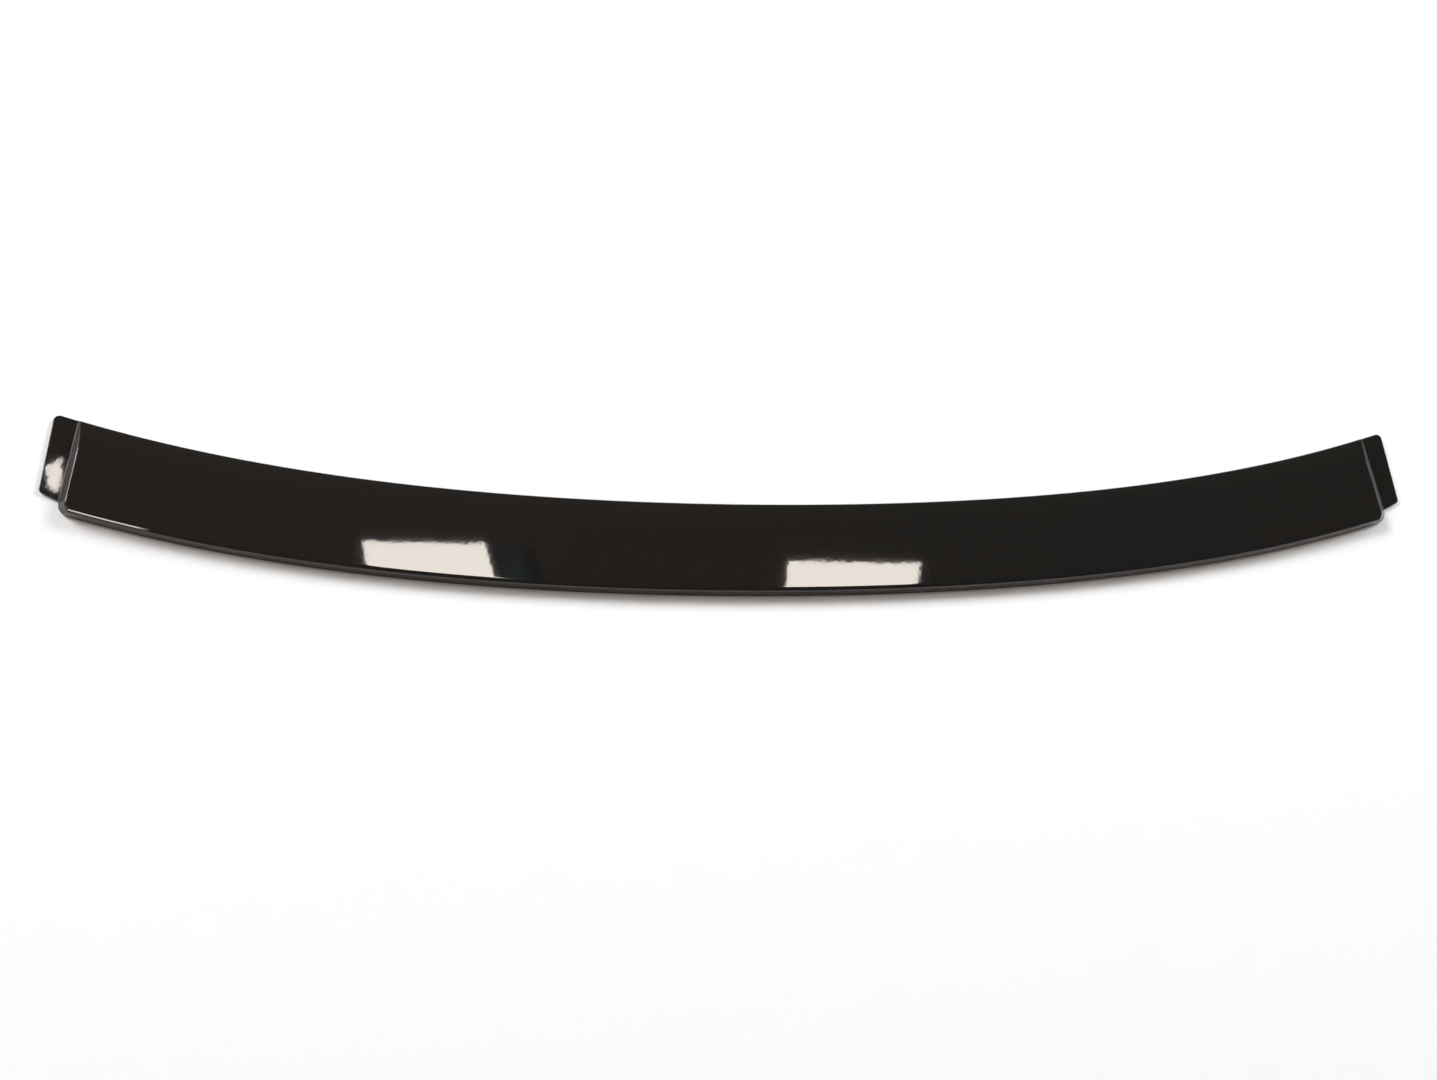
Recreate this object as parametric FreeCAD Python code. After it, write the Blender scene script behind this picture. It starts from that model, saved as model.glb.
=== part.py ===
import FreeCAD, Part
import math
import os

# One-piece formed spoiler that caps the rear roof edge of a van or estate car. X runs across the
# vehicle, +Y points forward to the leading edge, +Z is up. The trimmed rim lies in the plane Z = 0.

# Driving dimensions, in millimetres and degrees.
span = 1280.0  # over the rear outer corners of the two end tabs, were they sharp
chord = 87.0  # leading edge to trailing edge on the centre line
bow_lead = 83.0  # how far the leading edge runs forward at half the span
bow_trail = 80.5  # the same for the trailing edge
bow_end_share = 0.28  # share of the bow that gathers towards the ends
wall = 3.0  # thickness of the formed sheet, and so of the end tabs
lead_height = 4.6  # height of the blade at its leading edge
shoulder_height = 10.6  # height where the quick rise behind the leading edge has flattened
shoulder_run = 27.0  # distance of that place from the leading edge
crest_run = 11.0  # where the tangents at the two ends of that rise meet
tail_height = 12.2  # height where the blade's top would meet its lip, were the edge between them sharp
lip_draft = 10.0  # lean of the trailing lip from the vertical
crown_radius = 4.0  # rounding between the top and the lip
nose_reach = 0.9  # rounding of the leading edge, down its front and along its top, where the risers allow it
nose_angle = 30.0  # slope at which that rounding runs out into the top
riser_draft = 45.0  # lean of the end risers from the vertical
riser_turn = 6.8  # turn of a riser's foot from the fore-and-aft direction, seen from above
riser_radius = 1.2  # rounding between a riser and the blade's top, where the riser is high enough
foot_radius = 1.2  # hollow rounding between a riser and its tab, where the riser is high enough
corner_radius = 12.5  # curve that takes a riser round the blade's rear corner, seen from above
corner_proud = 0.8  # how far that curve would stand out behind the trailing edge
tab_width = 19.0  # end tab from the riser's foot to its rear outer corner
tab_turn = 4.2  # turn of a tab's outer edge from the fore-and-aft direction, seen from above
tab_setback = 14.2  # a tab's rear outer corner, forward of the line of the trailing edge there
tab_rear_slant = 26.0  # turn of a tab's rear edge from the crosswise direction
tab_front_radius = 5.0  # a tab's front corner, seen from above
tab_rear_radius = 5.0  # a tab's rear corner, seen from above

# Values worked out from the driving dimensions. Distances are measured from the middle of the
# leading edge until the finished shell is moved to its own origin.
half = span / 2
tab_corner_y = bow_trail - chord + tab_setback
foot_x = half - tab_width
over = 2 * wall  # how far tool shapes reach past the material they cut
tool_half = half + over
front_over = wall / 3  # the same in front of the leading edge, where the risers are low
top_z = tail_height + over
round_strips = 5  # faces across a long rounding
tiny = wall / 1000  # places closer than this count as one
climb = (tail_height - shoulder_height) / (chord - shoulder_run)
riser_low = lead_height - wall  # height of a riser at the leading edge, where it is lowest
round_limit = 0.8 * riser_low  # largest rounding of its top and foot that fits there
nose_round = min(nose_reach, 0.6 * riser_low)  # rounding of the leading edge that stays above the tabs
turn = math.radians(riser_turn)
up = FreeCAD.Vector(0, 0, 1)


def tangent(degrees):
    return math.tan(math.radians(degrees))


def cosine(degrees):
    return math.cos(math.radians(degrees))


def crossing(gap, low, high):
    """Where a quantity that grows from low to high passes zero, found by halving."""
    halvings = 60
    for _ in range(halvings):
        middle = (low + high) / 2
        if gap(middle) > 0:
            high = middle
        else:
            low = middle
    return (low + high) / 2


def bow(x):
    """Share of the full bow at a place across the span: a square and a fourth power."""
    ratio = x / half
    return (1 - bow_end_share) * ratio**2 + bow_end_share * ratio**4


def bow_slope(x):
    ratio = x / half
    return (2 * (1 - bow_end_share) * ratio + 4 * bow_end_share * ratio**3) / half


def bow_poles():
    """Control points that draw the bow exactly, from one end of the tool shapes to the other.

    Each is a place across the span and a share of the full bow.
    """
    ratio = tool_half / half
    square = (1 - bow_end_share) * ratio**2
    fourth = bow_end_share * ratio**4
    shares = [square + fourth, -fourth, fourth - square / 3, -fourth, square + fourth]
    return [(tool_half * (i / 2 - 1), share) for i, share in enumerate(shares)]


def behind_lead(point):
    """Distance of a point behind the leading edge, along the vehicle."""
    return bow_lead * bow(point.x) - point.y


def bowed_solid(section):
    """Solid with one section all along the bow.

    The section is a closed chain of stretches. Each stretch lists two points for a straight line or
    three for a parabola, as distances behind the leading edge and heights.
    """
    faces = []
    for stretch in section:
        poles = []
        for x, share in bow_poles():
            row = []
            for run, height in stretch:
                depth = bow_lead + (bow_trail - bow_lead) * run / chord
                row.append(FreeCAD.Vector(x, depth * share - run, height))
            poles.append(row)
        along = len(poles)
        across = len(stretch)
        surface = Part.BSplineSurface()
        surface.buildFromPolesMultsKnots(
            poles, [along] * 2, [across] * 2, [0, 1], [0, 1], False, False, along - 1, across - 1
        )
        faces.append(surface.toShape())
    edges = [edge for face in faces for edge in face.Edges]
    for side in (-1, 1):
        rim = [edge for edge in edges if edge.CenterOfMass.x * side > tool_half - tiny]
        faces.append(Part.Face(Part.Wire(Part.sortEdges(rim)[0])))
    shell = Part.makeShell(faces)
    shell.sewShape()
    return Part.makeSolid(shell)


def strips(start, corner, end):
    """The parabola from start to end cut into equal strips, so that no one face turns far."""

    def blend(s, t):
        weights = ((1 - s) * (1 - t), s + t - 2 * s * t, s * t)
        points = (start, corner, end)
        return tuple(sum(w * point[axis] for w, point in zip(weights, points)) for axis in (0, 1))

    cuts = [i / round_strips for i in range(round_strips + 1)]
    return [[blend(a, a), blend(a, b), blend(b, b)] for a, b in zip(cuts, cuts[1:])]


def under_skin(inset):
    """Everything below the sheet's outside, or below its inside one wall further in.

    A quick rounded rise from the leading edge runs into a straight, gently climbing top, which
    turns over a rounded crown into the straight lip.
    """
    lip = tangent(lip_draft)

    def on_top(run):
        return (run, shoulder_height + climb * (run - shoulder_run) - inset)

    def on_lip(height):
        return (chord - inset / cosine(lip_draft) - lip * height, height)

    # The rise starts a little in front of the leading edge and passes it at the right height.
    def run_at(t):
        return -front_over * (1 - t) ** 2 + 2 * crest_run * t * (1 - t) + shoulder_run * t**2

    t = crossing(run_at, 0, 1)
    crest = on_top(crest_run)
    shoulder = on_top(shoulder_run)
    start_height = (lead_height - inset - 2 * crest[1] * t * (1 - t) - shoulder[1] * t**2) / (1 - t) ** 2
    start = (-front_over, start_height)

    # Edge where top and lip would meet, and how far its rounding reaches along each of them.
    edge = on_top((on_lip(0)[0] - lip * on_top(0)[1]) / (1 + lip * climb))
    top_angle = math.atan(climb)
    half_turn = (math.radians(90 - lip_draft) + top_angle) / 2
    reach = (crown_radius - inset) * math.tan(half_turn)
    top_end = on_top(edge[0] - reach * math.cos(top_angle))
    lip_start = on_lip(edge[1] - reach * cosine(lip_draft))
    lip_end = on_lip(-over)
    bottom = (-front_over, -over)
    front = [[bottom, start], [start, crest, shoulder], [shoulder, top_end]]
    return bowed_solid(front + strips(top_end, edge, lip_start) + [[lip_start, lip_end], [lip_end, bottom]])


def behind_nose(inset):
    """Everything behind the leading edge, or one wall behind it, with the edge's top rounded off."""
    low = -2 * over
    far_run = chord + 2 * over
    corner = (inset, lead_height)
    front_top = (inset, lead_height - nose_round)

    def along_slope(distance):
        angle = math.radians(nose_angle)
        return (inset + distance * math.cos(angle), lead_height + distance * math.sin(angle))

    slope_start = along_slope(nose_round)
    slope_end = along_slope(nose_round + top_z)
    back_top = (far_run, slope_end[1])
    back = [[slope_start, slope_end], [slope_end, back_top], [back_top, (far_run, low)]]
    bottom = [[(far_run, low), (inset, low)], [(inset, low), front_top]]
    return bowed_solid(strips(front_top, corner, slope_start) + back + bottom)


def inside_riser(point):
    """Distance of a point on the +X side inwards from the straight line of the riser's foot."""
    return (foot_x - point.x) * math.cos(turn) - (point.y - tab_corner_y) * math.sin(turn)


def bowed_edge(x_end, depth, y_middle, z):
    """Edge along a bowed line between two mirrored ends."""
    curve = Part.BezierCurve()
    curve.setPoles([FreeCAD.Vector(x, y_middle + depth * bowed, z) for x, bowed in bow_poles()])
    share = x_end / tool_half
    return curve.toShape((1 - share) / 2, (1 + share) / 2)


def mirrored(point):
    return FreeCAD.Vector(-point.x, point.y, point.z)


def end_outline(z, riser_inset, tail_inset, radius):
    """Outline of the blade's ends at one height: straight risers and round rear corners.

    Its front stands clear of the leading edge, and its back just clear of the lip, which the
    sheet's own skin forms.
    """
    lead_y = 2 * front_over
    tail_y = tail_inset - corner_proud - chord

    def past_riser(x):
        return riser_inset - inside_riser(FreeCAD.Vector(x, lead_y + bow_lead * bow(x), z))

    def corner_centre(x):
        inwards = FreeCAD.Vector(-bow_trail * bow_slope(x), 1, 0).normalize()
        return FreeCAD.Vector(x, tail_y + bow_trail * bow(x), z) + inwards * radius

    def past_corner(x):
        return riser_inset + radius - inside_riser(corner_centre(x))

    lead_x = crossing(past_riser, 0, half)
    tail_x = crossing(past_corner, 0, half)
    centre = corner_centre(tail_x)
    outwards = FreeCAD.Vector(math.cos(turn), math.sin(turn), 0) * radius
    lead_end = FreeCAD.Vector(lead_x, lead_y + bow_lead * bow(lead_x), z)
    tail_end = FreeCAD.Vector(tail_x, tail_y + bow_trail * bow(tail_x), z)
    riser_end = centre + outwards
    corner = centre + (outwards + tail_end - centre).normalize() * radius
    return [
        bowed_edge(lead_x, bow_lead, lead_y, z),
        Part.makeLine(lead_end, riser_end),
        Part.Arc(riser_end, corner, tail_end).toShape(),
        bowed_edge(tail_x, bow_trail, tail_y, z),
        Part.Arc(mirrored(tail_end), mirrored(corner), mirrored(riser_end)).toShape(),
        Part.makeLine(mirrored(riser_end), mirrored(lead_end)),
    ]


def between(lower, upper):
    """Solid between two outlines at different heights, flat where both are straight."""
    faces = [Part.Face(Part.Wire(lower)), Part.Face(Part.Wire(upper))]
    for low, high in zip(lower, upper):
        if isinstance(low.Curve, Part.Line):
            corners = [low.Vertexes[0].Point, low.Vertexes[1].Point]
            corners += [high.Vertexes[1].Point, high.Vertexes[0].Point]
            faces.append(Part.Face(Part.makePolygon(corners + corners[:1])))
        else:
            faces.append(Part.makeRuledSurface(low, high))
    shell = Part.makeShell(faces)
    shell.sewShape()
    return Part.makeSolid(shell)


def between_ends(inset):
    """Everything between the two risers, or one wall further in."""
    riser = tangent(riser_draft)
    lip = tangent(lip_draft)
    outlines = []
    for z in (-over, top_z):
        riser_inset = (z - wall) * riser + inset / cosine(riser_draft)
        tail_inset = z * lip + inset / cosine(lip_draft)
        outlines.append(end_outline(z, riser_inset, tail_inset, corner_radius - inset))
    return between(*outlines)


def above_rim(shape):
    """The part of a shape above the plane of the rim."""
    corner = FreeCAD.Vector(-tool_half - over, -chord - bow_lead, 0)
    block = Part.makeBox(2 * (tool_half + over), 2 * (chord + bow_lead), 2 * top_z, corner)
    return shape.common(block).Solids[0]


def edge_middle(edge):
    return edge.valueAt((edge.FirstParameter + edge.LastParameter) / 2)


def round_riser_tops(blade):
    """Round the blade's edges along both risers and down both rear corners."""
    edges = []
    for edge in blade.Edges:
        middle = edge_middle(edge)
        crosswise = [face.BoundBox.XLength > half for face in blade.ancestorsOfType(edge, Part.Face)]
        at_end = any(crosswise) and not all(crosswise)
        if at_end and middle.z > tiny and behind_lead(middle) > -front_over / 2:
            edges.append(edge)
    return blade.makeFillet(min(riser_radius, round_limit), edges).Solids[0]


def plate(side, corners, bottom, top):
    """Flat-sided block over a polygon on one side of the car, given for the +X side."""
    points = [FreeCAD.Vector(side * x, y, bottom) for x, y in corners]
    return Part.Face(Part.makePolygon(points + points[:1])).extrude(up * (top - bottom))


def end_tab(side):
    """Flat flange outside a riser. It reaches in under the blade and past the leading edge."""
    front_y = bow_lead + over
    length = front_y - tab_corner_y
    inner_x = foot_x - over
    corners = [
        (half, tab_corner_y),
        (half - length * tangent(tab_turn), front_y),
        (inner_x - length * tangent(riser_turn), front_y),
        (inner_x, tab_corner_y - (half - inner_x) * tangent(tab_rear_slant)),
    ]
    return plate(side, corners, 0, wall)


def inside_trim(inset):
    """Upright block over the blade's outline at the height of the tabs, or over the line one wall inside."""
    tail_inset = wall * tangent(lip_draft) + inset
    outline = end_outline(-2 * over, inset, tail_inset, corner_radius - inset)
    return Part.Face(Part.Wire(outline)).extrude(up * (2 * over + top_z))


def toe(side):
    """What the riser's slope leaves outside the blade's outline behind a tab, where the sheet is trimmed."""
    slant = tangent(tab_rear_slant)
    width = tab_width / (1 + slant * tangent(riser_turn))
    notch = (half - width, tab_corner_y - width * slant)
    back_y = notch[1] - chord / 2
    corners = [notch, (half, tab_corner_y), (half, back_y), (notch[0] - 4 * corner_radius, back_y)]
    return plate(side, corners, -over, wall + over).cut(inside_trim(0))


def leaning(face):
    """Whether a face is neither upright nor level at its middle."""
    u_start, u_end, v_start, v_end = face.ParameterRange
    rise = face.normalAt((u_start + u_end) / 2, (v_start + v_end) / 2).z
    return tiny < abs(rise) < 1 - tiny


def round_feet(body):
    """Hollow rounding where each riser stands on its tab."""
    feet = []
    for edge in body.Edges:
        middle = edge_middle(edge)
        on_riser = any(leaning(face) for face in body.ancestorsOfType(edge, Part.Face))
        if on_riser and abs(middle.z - wall) < tiny and behind_lead(middle) > over:
            feet.append(edge)
    return body.makeFillet(min(foot_radius, round_limit), feet).Solids[0]


def round_tab_corners(body):
    """Round the two upright outer corners of each tab."""
    fronts = []
    rears = []
    for edge in body.Edges:
        start, end = edge.Vertexes[0].Point, edge.Vertexes[-1].Point
        upright = (end - start).cross(up).Length < tiny
        if upright and abs(start.x) > half - tiny:
            rears.append(edge)
        elif upright and abs(behind_lead(start)) < tiny and abs(start.x) > foot_x:
            fronts.append(edge)
    return body.makeFillet(tab_front_radius, fronts).makeFillet(tab_rear_radius, rears).Solids[0]


def hollow():
    """Space under the sheet: the same skin, risers and front one wall further in, and open below."""
    return under_skin(wall).common(between_ends(wall)).common(behind_nose(wall)).common(inside_trim(wall))


def spoiler_shell():
    """The whole spoiler: a blade between two risers with a tab outside each, trimmed and hollowed."""
    blade = round_riser_tops(above_rim(under_skin(0).common(between_ends(0))))
    body = blade.fuse([end_tab(1), end_tab(-1)]).common(behind_nose(0)).removeSplitter().Solids[0]
    body = round_tab_corners(round_feet(body)).cut([toe(1), toe(-1)])
    shell = body.cut(hollow()).Solids[0]
    box = shell.optimalBoundingBox(False, False)
    shell.translate(FreeCAD.Vector(0, -(box.YMin + box.YMax) / 2, 0))
    return shell


os.makedirs("parts", exist_ok=True)
spoiler_shell().exportStep("parts/spoiler_shell.step")
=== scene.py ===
"""Dresses the tailgate spoiler: one gloss black formed shell on a pale floor under ceiling panels."""

import logging
import math
from dataclasses import dataclass, field
from enum import Enum
from typing import Callable

import bmesh
import bpy
import numpy as np
from mathutils import Matrix, Vector


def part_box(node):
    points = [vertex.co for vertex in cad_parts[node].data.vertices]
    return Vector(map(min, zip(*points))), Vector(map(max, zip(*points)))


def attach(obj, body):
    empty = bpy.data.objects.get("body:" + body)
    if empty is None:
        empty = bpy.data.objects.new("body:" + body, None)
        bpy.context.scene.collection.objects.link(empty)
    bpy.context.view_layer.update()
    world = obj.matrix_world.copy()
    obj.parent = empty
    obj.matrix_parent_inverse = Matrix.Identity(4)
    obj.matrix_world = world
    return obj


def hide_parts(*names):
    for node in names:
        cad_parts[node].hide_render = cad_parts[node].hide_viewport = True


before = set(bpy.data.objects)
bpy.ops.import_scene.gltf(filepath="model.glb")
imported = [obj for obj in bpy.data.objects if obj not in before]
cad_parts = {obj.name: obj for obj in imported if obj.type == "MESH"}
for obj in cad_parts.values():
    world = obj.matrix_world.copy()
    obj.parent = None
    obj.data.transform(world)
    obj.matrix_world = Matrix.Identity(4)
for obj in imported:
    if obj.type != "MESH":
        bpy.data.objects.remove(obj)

Array = np.ndarray
Colour = tuple[float, float, float]
Place = tuple[float, float, float]
Point = tuple[float, float]
Line = Callable[[Array, Array], Array]
Socket = bpy.types.NodeSocket

MM = 0.001  # the form is worked out in millimetres, and Blender counts in metres
CHORD = 87.0  # from the leading to the trailing edge, for the plan and for the section
NODE = "spoiler_shell"
BODY = "root"
UNDERSIDE = "underside"  # the mesh attribute that says which face of the sheet a point lies on
PHOTO_WIDTH = 1437
PHOTO_HEIGHT = 1080

log = logging.getLogger("spoiler")


class Side(Enum):
    """The two faces of the formed sheet, and the value that each writes into the underside attribute."""

    UPPER = 0.0
    UNDER = 1.0


def smooth_step(value: Array, start: float, end: float) -> Array:
    """Share that rises from 0 at start to 1 at end, level at both: 3s squared less 2s cubed.

    Args:
        value: Places to find the share for.
        start: Place where the share leaves 0.
        end: Place where it reaches 1.

    Returns:
        Shares from 0 to 1.
    """
    share = np.clip((value - start) / (end - start), 0.0, 1.0)
    return share * share * (3.0 - 2.0 * share)


def halve(inside: Callable[[Array], Array], low: Array, high: Array) -> Array:
    """Place where a test turns from yes to no, found by halving the stretch between two arrays.

    Args:
        inside: Test that says yes at low and no at high.
        low: Places inside.
        high: Places outside.

    Returns:
        The turning places.
    """
    halvings = 48
    for _ in range(halvings):
        middle = 0.5 * (low + high)
        yes = inside(middle)
        low = np.where(yes, middle, low)
        high = np.where(yes, high, middle)
    return 0.5 * (low + high)


def rounded_corner(a: Array, b: Array, radius: float, lean: float) -> Array:
    """Distance inside two straight sides whose corner is an arc.

    Beyond the arc's ends it is the smaller of the two distances, and between them it is the radius
    less the distance from the arc's centre, which lies one radius inside both sides.

    Args:
        a: Distances inside the first side.
        b: Distances inside the second side.
        radius: Radius of the arc.
        lean: Cosine between the two sides' inward normals.

    Returns:
        Distances inside the rounded outline.
    """
    short_a = radius - a
    short_b = radius - b
    in_corner = (short_a > lean * short_b) & (short_b > lean * short_a)
    square = (short_a**2 + short_b**2 - 2.0 * lean * short_a * short_b) / (1.0 - lean**2)
    return np.where(in_corner, radius - np.sqrt(np.maximum(square, 0.0)), np.minimum(a, b))


def edge_drop(distance: Array, radius: float) -> Array:
    """How far a quarter-round upper edge lies below its sharp form.

    Args:
        distance: Distances inside the outline.
        radius: Radius of the quarter round.

    Returns:
        The radius less the height of a circle over each place.
    """
    short = np.clip(radius - distance, 0.0, radius)
    return radius - np.sqrt(radius**2 - short**2)


def parabola(place: Array, start: Point, corner: Point, end: Point) -> Array:
    """Height over a place on the parabola from start to end whose end tangents meet at corner.

    The place is a square function of the parabola's own parameter, which is solved for first.

    Args:
        place: Distances behind the leading edge.
        start: First point, as a distance and a height.
        corner: Point where the tangents meet.
        end: Last point.

    Returns:
        Heights.
    """
    bend = start[0] - 2.0 * corner[0] + end[0]
    rate = 2.0 * (corner[0] - start[0])
    rest = start[0] - place
    root = np.sqrt(np.maximum(rate * rate - 4.0 * bend * rest, 0.0))
    t = np.clip(-2.0 * rest / (rate + root), 0.0, 1.0)
    return start[1] * (1.0 - t) ** 2 + 2.0 * corner[1] * t * (1.0 - t) + end[1] * t * t


@dataclass(frozen=True)
class MeshLines:
    """How close the mesh lines lie: counts for each stretch, and the spacing over a riser."""

    quarter: int = 9
    rise: int = 27
    top: int = 18
    inner: int = 14
    crown: int = 21
    lip: int = 9
    corner: int = 17
    corner_arc: float = 80.0
    riser_spacing: float = 0.35
    growth: float = 1.18
    growing: int = 19
    middle: int = 68
    tab_foot: int = 9
    tab_flat: int = 9
    tab_edge: int = 18
    tab_edge_arc: float = 85.0

    def quarter_round(self, radius: float) -> Array:
        """Distances of the lines over a quarter round from its edge: the radius less its cosines."""
        return radius * (1.0 - np.cos(np.radians(np.linspace(0.0, 90.0, self.quarter))))


@dataclass(frozen=True)
class Bow:
    """Plan curve of the blade: a square and a fourth power of the place across the span."""

    span: float = 1280.0
    chord: float = CHORD
    lead: float = 83.0
    trail: float = 80.5
    end_share: float = 0.28

    @property
    def half(self) -> float:
        """Half of the span."""
        return self.span / 2.0

    def share(self, x: Array) -> Array:
        """Share of the full bow at a place across the span."""
        square = (x / self.half) ** 2
        return (1.0 - self.end_share) * square + self.end_share * square**2

    def slope(self, x: Array) -> Array:
        """Change of that share along the span."""
        ratio = x / self.half
        return (2.0 * (1.0 - self.end_share) * ratio + 4.0 * self.end_share * ratio**3) / self.half

    def lead_slope(self, x: Array) -> Array:
        """Angle of the leading edge from the crosswise direction, in radians."""
        return np.arctan(self.lead * self.slope(x))

    def trail_slope(self, x: Array) -> Array:
        """Angle of the trailing edge from the crosswise direction, in radians."""
        return np.arctan(self.trail * self.slope(x))

    def place_y(self, x: Array, run: Array) -> Array:
        """Forward place of a point that lies a given distance behind the leading edge."""
        return (self.lead + (self.trail - self.lead) * run / self.chord) * self.share(x) - run

    def run(self, x: Array, y: Array) -> Array:
        """Distance of a point behind the leading edge, stretched so that it ends at the chord."""
        bowed = self.share(x)
        return (self.lead * bowed - y) / (1.0 + (self.lead - self.trail) * bowed / self.chord)


@dataclass(frozen=True)
class Section:
    """Section of the blade: a quick rounded rise, a gently climbing top, a crown and a leaning lip."""

    chord: float = CHORD
    wall: float = 3.0
    lead_height: float = 4.6
    shoulder_height: float = 10.6
    shoulder_run: float = 27.0
    crest_run: float = 11.0
    tail_height: float = 12.2
    lip_draft: float = 10.0
    crown_radius: float = 4.0
    edge_round: float = 1.0

    @property
    def climb(self) -> float:
        """Slope of the top behind the shoulder."""
        return (self.tail_height - self.shoulder_height) / (self.chord - self.shoulder_run)

    @property
    def lip_lean(self) -> float:
        """Tangent of the lip's lean from the vertical."""
        return math.tan(math.radians(self.lip_draft))

    def on_top(self, run: Array, inset: float) -> Array:
        """Height of the straight top, or of its inside, over a distance behind the leading edge."""
        return self.shoulder_height + self.climb * (run - self.shoulder_run) - inset

    def lip_foot(self, inset: float) -> float:
        """Distance of the lip's foot behind the leading edge, on its outside or inside."""
        return self.chord - inset / math.cos(math.radians(self.lip_draft))

    def crown(self, inset: float) -> tuple[Point, Point, Point]:
        """Start, tangent corner and end of the rounding between the top and the lip.

        Args:
            inset: 0 for the sheet's outside, one wall for its inside.

        Returns:
            Three points, each a distance behind the leading edge and a height.
        """
        lean = self.lip_lean
        edge_run = (self.lip_foot(inset) - lean * self.on_top(0.0, inset)) / (1.0 + lean * self.climb)
        edge = (edge_run, self.on_top(edge_run, inset))
        draft = math.radians(self.lip_draft)
        top_angle = math.atan(self.climb)
        reach = (self.crown_radius - inset) * math.tan((math.pi / 2.0 - draft + top_angle) / 2.0)
        start_run = edge[0] - reach * math.cos(top_angle)
        end_height = edge[1] - reach * math.cos(draft)
        start = (start_run, self.on_top(start_run, inset))
        return start, edge, (self.lip_foot(inset) - lean * end_height, end_height)

    def rise(self, inset: float) -> tuple[Point, Point, Point]:
        """Start, tangent corner and end of the rise, which passes the leading edge at its height.

        Args:
            inset: 0 for the sheet's outside, one wall for its inside.

        Returns:
            Three points, the first a third of a wall in front of the leading edge.
        """
        front = -self.wall / 3.0
        bend = front - 2.0 * self.crest_run + self.shoulder_run
        rate = 2.0 * (self.crest_run - front)
        t = -2.0 * front / (rate + math.sqrt(rate * rate - 4.0 * bend * front))
        crest = (self.crest_run, self.on_top(self.crest_run, inset))
        shoulder = (self.shoulder_run, self.on_top(self.shoulder_run, inset))
        above = 2.0 * crest[1] * t * (1.0 - t) + shoulder[1] * t * t
        return (front, (self.lead_height - inset - above) / (1.0 - t) ** 2), crest, shoulder

    def height(self, run: Array, inset: float) -> Array:
        """Height of the sheet's outside, or of its inside one wall further in.

        Args:
            run: Distances behind the leading edge.
            inset: 0 for the outside, one wall for the inside.

        Returns:
            Heights, by whichever stretch of the section each distance falls on.
        """
        rise = self.rise(inset)
        crown = self.crown(inset)
        lip = (self.lip_foot(inset) - run) / self.lip_lean
        stretches = [run < self.shoulder_run, run < crown[0][0], run < crown[2][0]]
        forms = [parabola(run, *rise), self.on_top(run, inset), parabola(run, *crown)]
        return np.select(stretches, forms, lip)

    def runs(self, lines: MeshLines) -> Array:
        """Distances of the mesh lines behind the leading edge, close together where the sheet bends.

        Args:
            lines: How close the lines lie.

        Returns:
            Distances, from the leading edge to the trailing edge.
        """
        start, corner, end = self.crown(0.0)
        t = np.linspace(0.0, 1.0, lines.crown)
        crown = start[0] * (1.0 - t) ** 2 + 2.0 * corner[0] * t * (1.0 - t) + end[0] * t * t
        inner_start = start[0] - 2.0 * self.wall
        nose = lines.quarter_round(self.edge_round)
        rise = np.linspace(self.edge_round, self.shoulder_run, lines.rise)[1:]
        top = np.linspace(self.shoulder_run, inner_start, lines.top)[1:]
        inner = np.linspace(inner_start, start[0], lines.inner)[1:-1]
        lip = np.linspace(end[0], self.chord, lines.lip)[1:]
        return np.concatenate([nose, rise, top, inner, crown, lip])


@dataclass(frozen=True)
class Ends:
    """Sizes of the blade's two ends: risers, rear corners and flat tabs."""

    riser_draft: float = 45.0
    riser_turn: float = 6.8
    riser_radius: float = 1.2
    foot_radius: float = 1.2
    corner_radius: float = 12.5
    corner_proud: float = 0.8
    tab_width: float = 19.0
    tab_turn: float = 4.2
    tab_setback: float = 14.2
    tab_rear_slant: float = 26.0
    tab_front_radius: float = 5.0
    tab_rear_radius: float = 5.0
    hollow_side_rise: float = 4.0

    @property
    def turn(self) -> float:
        """Turn of a riser's foot from the fore-and-aft direction, in radians."""
        return math.radians(self.riser_turn)

    @property
    def foot_reach(self) -> float:
        """Distance from a riser's foot to the end of its hollow rounding."""
        return self.foot_radius * math.tan(math.radians(90.0 - self.riser_draft) / 2.0)


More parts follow.
